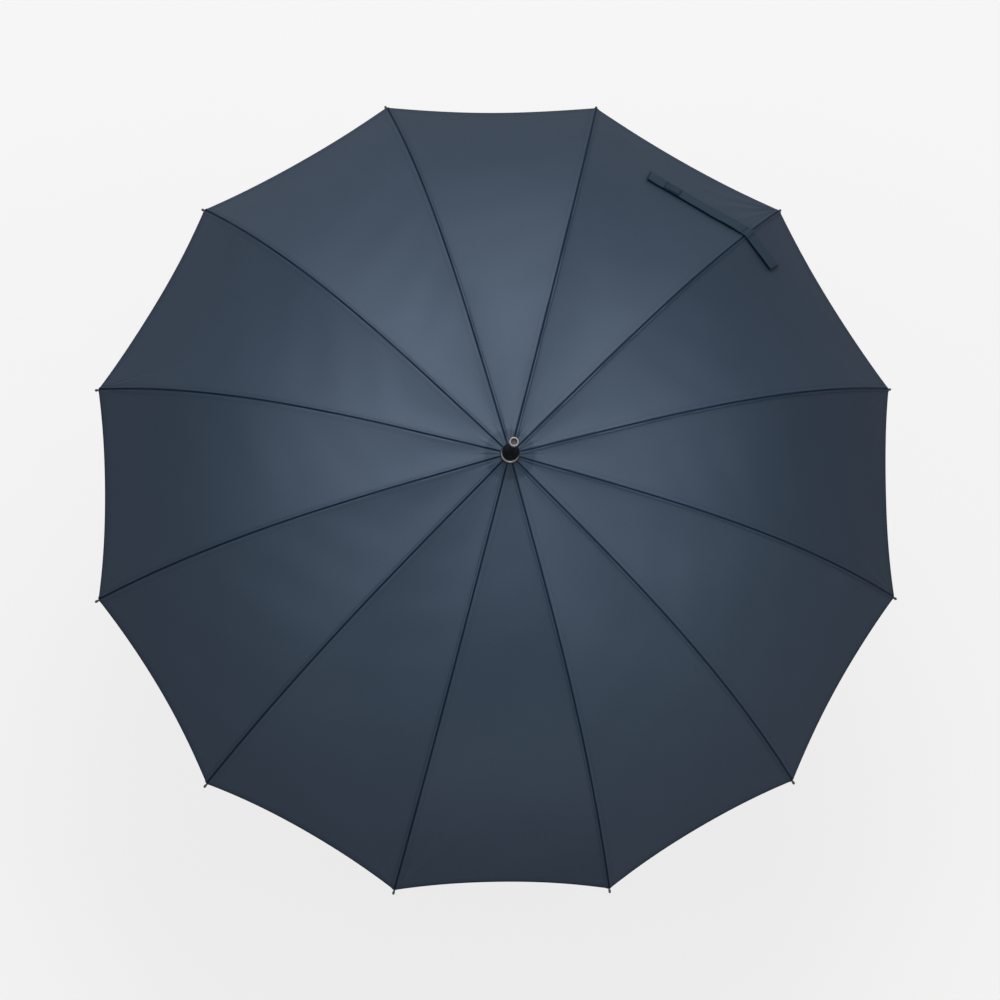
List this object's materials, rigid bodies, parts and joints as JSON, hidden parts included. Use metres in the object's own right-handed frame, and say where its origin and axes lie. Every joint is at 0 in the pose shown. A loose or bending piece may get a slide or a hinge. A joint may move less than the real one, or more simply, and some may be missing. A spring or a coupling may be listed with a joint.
{
  "type": "stick umbrella",
  "caption": "Long stick umbrella held open: a domed navy canopy of sewn panels on jointed steel ribs, with a sliding runner, a crook handle and a closing strap.",
  "frame": {"origin": "on the shaft axis, in the middle of the hand grip on the straight part of the handle", "axes": "+Z along the shaft towards the ferrule; +X towards the open end of the crook"},
  "size_m": [0.9986, 0.9986, 0.8948],
  "materials": {
    "navy_fabric": "satin",
    "steel": "satin",
    "chrome": "polished",
    "rod_black": "satin",
    "shaft_black": "satin",
    "black_plastic": "satin",
    "ferrule_black": "satin",
    "handle_black": "matte"
  },
  "bodies": {
    "shaft": {"shaft_tube": "shaft_black", "handle_crook": "handle_black", "handle_collar": "chrome", "top_notch": "black_plastic", "ferrule_cap": "ferrule_black", "ferrule_ring": "chrome", "ferrule_tip": "chrome", "runner_stop": "steel"},
    "rib_channel_01": {"rib_channel_01": "steel", "gore_01": "navy_fabric"},
    "rib_rod_01": {"rib_rod_01": "rod_black"},
    "stretcher_01": {"stretcher_01": "steel"},
    "rib_channel_02": {"rib_channel_02": "steel", "gore_02": "navy_fabric"},
    "rib_rod_02": {"rib_rod_02": "rod_black", "closing_strap": "navy_fabric"},
    "stretcher_02": {"stretcher_02": "steel"},
    "rib_channel_03": {"rib_channel_03": "steel", "gore_03": "navy_fabric"},
    "rib_rod_03": {"rib_rod_03": "rod_black"},
    "stretcher_03": {"stretcher_03": "steel"},
    "rib_channel_04": {"rib_channel_04": "steel", "gore_04": "navy_fabric"},
    "rib_rod_04": {"rib_rod_04": "rod_black"},
    "stretcher_04": {"stretcher_04": "steel"},
    "rib_channel_05": {"rib_channel_05": "steel", "gore_05": "navy_fabric"},
    "rib_rod_05": {"rib_rod_05": "rod_black"},
    "stretcher_05": {"stretcher_05": "steel"},
    "rib_channel_06": {"rib_channel_06": "steel", "gore_06": "navy_fabric"},
    "rib_rod_06": {"rib_rod_06": "rod_black"},
    "stretcher_06": {"stretcher_06": "steel"},
    "rib_channel_07": {"rib_channel_07": "steel", "gore_07": "navy_fabric"},
    "rib_rod_07": {"rib_rod_07": "rod_black"},
    "stretcher_07": {"stretcher_07": "steel"},
    "rib_channel_08": {"rib_channel_08": "steel", "gore_08": "navy_fabric"},
    "rib_rod_08": {"rib_rod_08": "rod_black"},
    "stretcher_08": {"stretcher_08": "steel"},
    "rib_channel_09": {"rib_channel_09": "steel", "gore_09": "navy_fabric"},
    "rib_rod_09": {"rib_rod_09": "rod_black"},
    "stretcher_09": {"stretcher_09": "steel"},
    "rib_channel_10": {"rib_channel_10": "steel", "gore_10": "navy_fabric"},
    "rib_rod_10": {"rib_rod_10": "rod_black"},
    "stretcher_10": {"stretcher_10": "steel"},
    "rib_channel_11": {"rib_channel_11": "steel", "gore_11": "navy_fabric"},
    "rib_rod_11": {"rib_rod_11": "rod_black"},
    "stretcher_11": {"stretcher_11": "steel"},
    "rib_channel_12": {"rib_channel_12": "steel", "gore_12": "navy_fabric"},
    "rib_rod_12": {"rib_rod_12": "rod_black"},
    "stretcher_12": {"stretcher_12": "steel"},
    "runner": {"runner": "black_plastic"},
    "top_catch": {"top_catch": "steel"},
    "bottom_catch": {"bottom_catch": "steel"}
  },
  "joints": [
    {"name": "fold", "type": "hinge", "parent": "shaft", "child": "rib_channel_01", "pos_m": [0.00869, 0.00233, 0.72015], "axis": [-0.2588, 0.9659, 0], "range_deg": [0, 78.09], "deforming": ["gore_01", "gore_02", "gore_03", "gore_04", "gore_05", "gore_06", "gore_07", "gore_08", "gore_09", "gore_10", "gore_11", "gore_12", "closing_strap"]},
    {"name": "stretcher_hinge_01", "type": "hinge", "parent": "rib_channel_01", "child": "stretcher_01", "pos_m": [0.26872, 0.072, 0.66337], "axis": [-0.2588, 0.9659, 0], "range_deg": [-156.18, 0]},
    {"name": "rib_flex_01", "type": "hinge", "parent": "rib_channel_01", "child": "rib_rod_01", "pos_m": [0.27418, 0.07347, 0.66546], "axis": [-0.2588, 0.9659, 0], "range_deg": [-31.24, 0]},
    {"name": "rib_hinge_02", "type": "hinge", "parent": "shaft", "child": "rib_channel_02", "pos_m": [0.00636, 0.00636, 0.72015], "axis": [-0.7071, 0.7071, 0], "range_deg": [0, 78.09]},
    {"name": "stretcher_hinge_02", "type": "hinge", "parent": "rib_channel_02", "child": "stretcher_02", "pos_m": [0.19672, 0.19672, 0.66337], "axis": [-0.7071, 0.7071, 0], "range_deg": [-156.18, 0]},
    {"name": "rib_flex_02", "type": "hinge", "parent": "rib_channel_02", "child": "rib_rod_02", "pos_m": [0.20072, 0.20072, 0.66546], "axis": [-0.7071, 0.7071, 0], "range_deg": [-31.24, 0]},
    {"name": "rib_hinge_03", "type": "hinge", "parent": "shaft", "child": "rib_channel_03", "pos_m": [0.00233, 0.00869, 0.72015], "axis": [-0.9659, 0.2588, 0], "range_deg": [0, 78.09]},
    {"name": "stretcher_hinge_03", "type": "hinge", "parent": "rib_channel_03", "child": "stretcher_03", "pos_m": [0.072, 0.26872, 0.66337], "axis": [-0.9659, 0.2588, 0], "range_deg": [-156.18, 0]},
    {"name": "rib_flex_03", "type": "hinge", "parent": "rib_channel_03", "child": "rib_rod_03", "pos_m": [0.07347, 0.27418, 0.66546], "axis": [-0.9659, 0.2588, 0], "range_deg": [-31.24, 0]},
    {"name": "rib_hinge_04", "type": "hinge", "parent": "shaft", "child": "rib_channel_04", "pos_m": [-0.00233, 0.00869, 0.72015], "axis": [-0.9659, -0.2588, 0], "range_deg": [0, 78.09]},
    {"name": "stretcher_hinge_04", "type": "hinge", "parent": "rib_channel_04", "child": "stretcher_04", "pos_m": [-0.072, 0.26872, 0.66337], "axis": [-0.9659, -0.2588, 0], "range_deg": [-156.18, 0]},
    {"name": "rib_flex_04", "type": "hinge", "parent": "rib_channel_04", "child": "rib_rod_04", "pos_m": [-0.07347, 0.27418, 0.66546], "axis": [-0.9659, -0.2588, 0], "range_deg": [-31.24, 0]},
    {"name": "rib_hinge_05", "type": "hinge", "parent": "shaft", "child": "rib_channel_05", "pos_m": [-0.00636, 0.00636, 0.72015], "axis": [-0.7071, -0.7071, 0], "range_deg": [0, 78.09]},
    {"name": "stretcher_hinge_05", "type": "hinge", "parent": "rib_channel_05", "child": "stretcher_05", "pos_m": [-0.19672, 0.19672, 0.66337], "axis": [-0.7071, -0.7071, 0], "range_deg": [-156.18, 0]},
    {"name": "rib_flex_05", "type": "hinge", "parent": "rib_channel_05", "child": "rib_rod_05", "pos_m": [-0.20072, 0.20072, 0.66546], "axis": [-0.7071, -0.7071, 0], "range_deg": [-31.24, 0]},
    {"name": "rib_hinge_06", "type": "hinge", "parent": "shaft", "child": "rib_channel_06", "pos_m": [-0.00869, 0.00233, 0.72015], "axis": [-0.2588, -0.9659, 0], "range_deg": [0, 78.09]},
    {"name": "stretcher_hinge_06", "type": "hinge", "parent": "rib_channel_06", "child": "stretcher_06", "pos_m": [-0.26872, 0.072, 0.66337], "axis": [-0.2588, -0.9659, 0], "range_deg": [-156.18, 0]},
    {"name": "rib_flex_06", "type": "hinge", "parent": "rib_channel_06", "child": "rib_rod_06", "pos_m": [-0.27418, 0.07347, 0.66546], "axis": [-0.2588, -0.9659, 0], "range_deg": [-31.24, 0]},
    {"name": "rib_hinge_07", "type": "hinge", "parent": "shaft", "child": "rib_channel_07", "pos_m": [-0.00869, -0.00233, 0.72015], "axis": [0.2588, -0.9659, 0], "range_deg": [0, 78.09]},
    {"name": "stretcher_hinge_07", "type": "hinge", "parent": "rib_channel_07", "child": "stretcher_07", "pos_m": [-0.26872, -0.072, 0.66337], "axis": [0.2588, -0.9659, 0], "range_deg": [-156.18, 0]},
    {"name": "rib_flex_07", "type": "hinge", "parent": "rib_channel_07", "child": "rib_rod_07", "pos_m": [-0.27418, -0.07347, 0.66546], "axis": [0.2588, -0.9659, 0], "range_deg": [-31.24, 0]},
    {"name": "rib_hinge_08", "type": "hinge", "parent": "shaft", "child": "rib_channel_08", "pos_m": [-0.00636, -0.00636, 0.72015], "axis": [0.7071, -0.7071, 0], "range_deg": [0, 78.09]},
    {"name": "stretcher_hinge_08", "type": "hinge", "parent": "rib_channel_08", "child": "stretcher_08", "pos_m": [-0.19672, -0.19672, 0.66337], "axis": [0.7071, -0.7071, 0], "range_deg": [-156.18, 0]},
    {"name": "rib_flex_08", "type": "hinge", "parent": "rib_channel_08", "child": "rib_rod_08", "pos_m": [-0.20072, -0.20072, 0.66546], "axis": [0.7071, -0.7071, 0], "range_deg": [-31.24, 0]},
    {"name": "rib_hinge_09", "type": "hinge", "parent": "shaft", "child": "rib_channel_09", "pos_m": [-0.00233, -0.00869, 0.72015], "axis": [0.9659, -0.2588, 0], "range_deg": [0, 78.09]},
    {"name": "stretcher_hinge_09", "type": "hinge", "parent": "rib_channel_09", "child": "stretcher_09", "pos_m": [-0.072, -0.26872, 0.66337], "axis": [0.9659, -0.2588, 0], "range_deg": [-156.18, 0]},
    {"name": "rib_flex_09", "type": "hinge", "parent": "rib_channel_09", "child": "rib_rod_09", "pos_m": [-0.07347, -0.27418, 0.66546], "axis": [0.9659, -0.2588, 0], "range_deg": [-31.24, 0]},
    {"name": "rib_hinge_10", "type": "hinge", "parent": "shaft", "child": "rib_channel_10", "pos_m": [0.00233, -0.00869, 0.72015], "axis": [0.9659, 0.2588, 0], "range_deg": [0, 78.09]},
    {"name": "stretcher_hinge_10", "type": "hinge", "parent": "rib_channel_10", "child": "stretcher_10", "pos_m": [0.072, -0.26872, 0.66337], "axis": [0.9659, 0.2588, 0], "range_deg": [-156.18, 0]},
    {"name": "rib_flex_10", "type": "hinge", "parent": "rib_channel_10", "child": "rib_rod_10", "pos_m": [0.07347, -0.27418, 0.66546], "axis": [0.9659, 0.2588, 0], "range_deg": [-31.24, 0]},
    {"name": "rib_hinge_11", "type": "hinge", "parent": "shaft", "child": "rib_channel_11", "pos_m": [0.00636, -0.00636, 0.72015], "axis": [0.7071, 0.7071, 0], "range_deg": [0, 78.09]},
    {"name": "stretcher_hinge_11", "type": "hinge", "parent": "rib_channel_11", "child": "stretcher_11", "pos_m": [0.19672, -0.19672, 0.66337], "axis": [0.7071, 0.7071, 0], "range_deg": [-156.18, 0]},
    {"name": "rib_flex_11", "type": "hinge", "parent": "rib_channel_11", "child": "rib_rod_11", "pos_m": [0.20072, -0.20072, 0.66546], "axis": [0.7071, 0.7071, 0], "range_deg": [-31.24, 0]},
    {"name": "rib_hinge_12", "type": "hinge", "parent": "shaft", "child": "rib_channel_12", "pos_m": [0.00869, -0.00233, 0.72015], "axis": [0.2588, 0.9659, 0], "range_deg": [0, 78.09]},
    {"name": "stretcher_hinge_12", "type": "hinge", "parent": "rib_channel_12", "child": "stretcher_12", "pos_m": [0.26872, -0.072, 0.66337], "axis": [0.2588, 0.9659, 0], "range_deg": [-156.18, 0]},
    {"name": "rib_flex_12", "type": "hinge", "parent": "rib_channel_12", "child": "rib_rod_12", "pos_m": [0.27418, -0.07347, 0.66546], "axis": [0.2588, 0.9659, 0], "range_deg": [-31.24, 0]},
    {"name": "runner_hinge", "type": "hinge", "parent": "stretcher_01", "child": "runner", "pos_m": [0.00869, 0.00233, 0.60659], "axis": [-0.2588, 0.9659, 0], "range_deg": [0, 78.09]},
    {"name": "top_catch_press", "type": "hinge", "parent": "shaft", "child": "top_catch", "pos_m": [0, 0, 0.53589], "axis": [0, -1, 0], "range_deg": [0, 5.5], "stiffness_Nm_per_rad": 0.4},
    {"name": "bottom_catch_press", "type": "hinge", "parent": "shaft", "child": "bottom_catch", "pos_m": [0, 0, 0.176], "axis": [0, 1, 0], "range_deg": [0, 5.5], "stiffness_Nm_per_rad": 0.4}
  ],
  "couplings": [
    {"joint": "stretcher_hinge_01", "follows": "fold", "ratio": -2},
    {"joint": "rib_flex_01", "follows": "fold", "ratio": -0.4},
    {"joint": "rib_hinge_02", "follows": "fold", "ratio": 1},
    {"joint": "stretcher_hinge_02", "follows": "fold", "ratio": -2},
    {"joint": "rib_flex_02", "follows": "fold", "ratio": -0.4},
    {"joint": "rib_hinge_03", "follows": "fold", "ratio": 1},
    {"joint": "stretcher_hinge_03", "follows": "fold", "ratio": -2},
    {"joint": "rib_flex_03", "follows": "fold", "ratio": -0.4},
    {"joint": "rib_hinge_04", "follows": "fold", "ratio": 1},
    {"joint": "stretcher_hinge_04", "follows": "fold", "ratio": -2},
    {"joint": "rib_flex_04", "follows": "fold", "ratio": -0.4},
    {"joint": "rib_hinge_05", "follows": "fold", "ratio": 1},
    {"joint": "stretcher_hinge_05", "follows": "fold", "ratio": -2},
    {"joint": "rib_flex_05", "follows": "fold", "ratio": -0.4},
    {"joint": "rib_hinge_06", "follows": "fold", "ratio": 1},
    {"joint": "stretcher_hinge_06", "follows": "fold", "ratio": -2},
    {"joint": "rib_flex_06", "follows": "fold", "ratio": -0.4},
    {"joint": "rib_hinge_07", "follows": "fold", "ratio": 1},
    {"joint": "stretcher_hinge_07", "follows": "fold", "ratio": -2},
    {"joint": "rib_flex_07", "follows": "fold", "ratio": -0.4},
    {"joint": "rib_hinge_08", "follows": "fold", "ratio": 1},
    {"joint": "stretcher_hinge_08", "follows": "fold", "ratio": -2},
    {"joint": "rib_flex_08", "follows": "fold", "ratio": -0.4},
    {"joint": "rib_hinge_09", "follows": "fold", "ratio": 1},
    {"joint": "stretcher_hinge_09", "follows": "fold", "ratio": -2},
    {"joint": "rib_flex_09", "follows": "fold", "ratio": -0.4},
    {"joint": "rib_hinge_10", "follows": "fold", "ratio": 1},
    {"joint": "stretcher_hinge_10", "follows": "fold", "ratio": -2},
    {"joint": "rib_flex_10", "follows": "fold", "ratio": -0.4},
    {"joint": "rib_hinge_11", "follows": "fold", "ratio": 1},
    {"joint": "stretcher_hinge_11", "follows": "fold", "ratio": -2},
    {"joint": "rib_flex_11", "follows": "fold", "ratio": -0.4},
    {"joint": "rib_hinge_12", "follows": "fold", "ratio": 1},
    {"joint": "stretcher_hinge_12", "follows": "fold", "ratio": -2},
    {"joint": "rib_flex_12", "follows": "fold", "ratio": -0.4},
    {"joint": "runner_hinge", "follows": "fold", "ratio": 1}
  ]
}
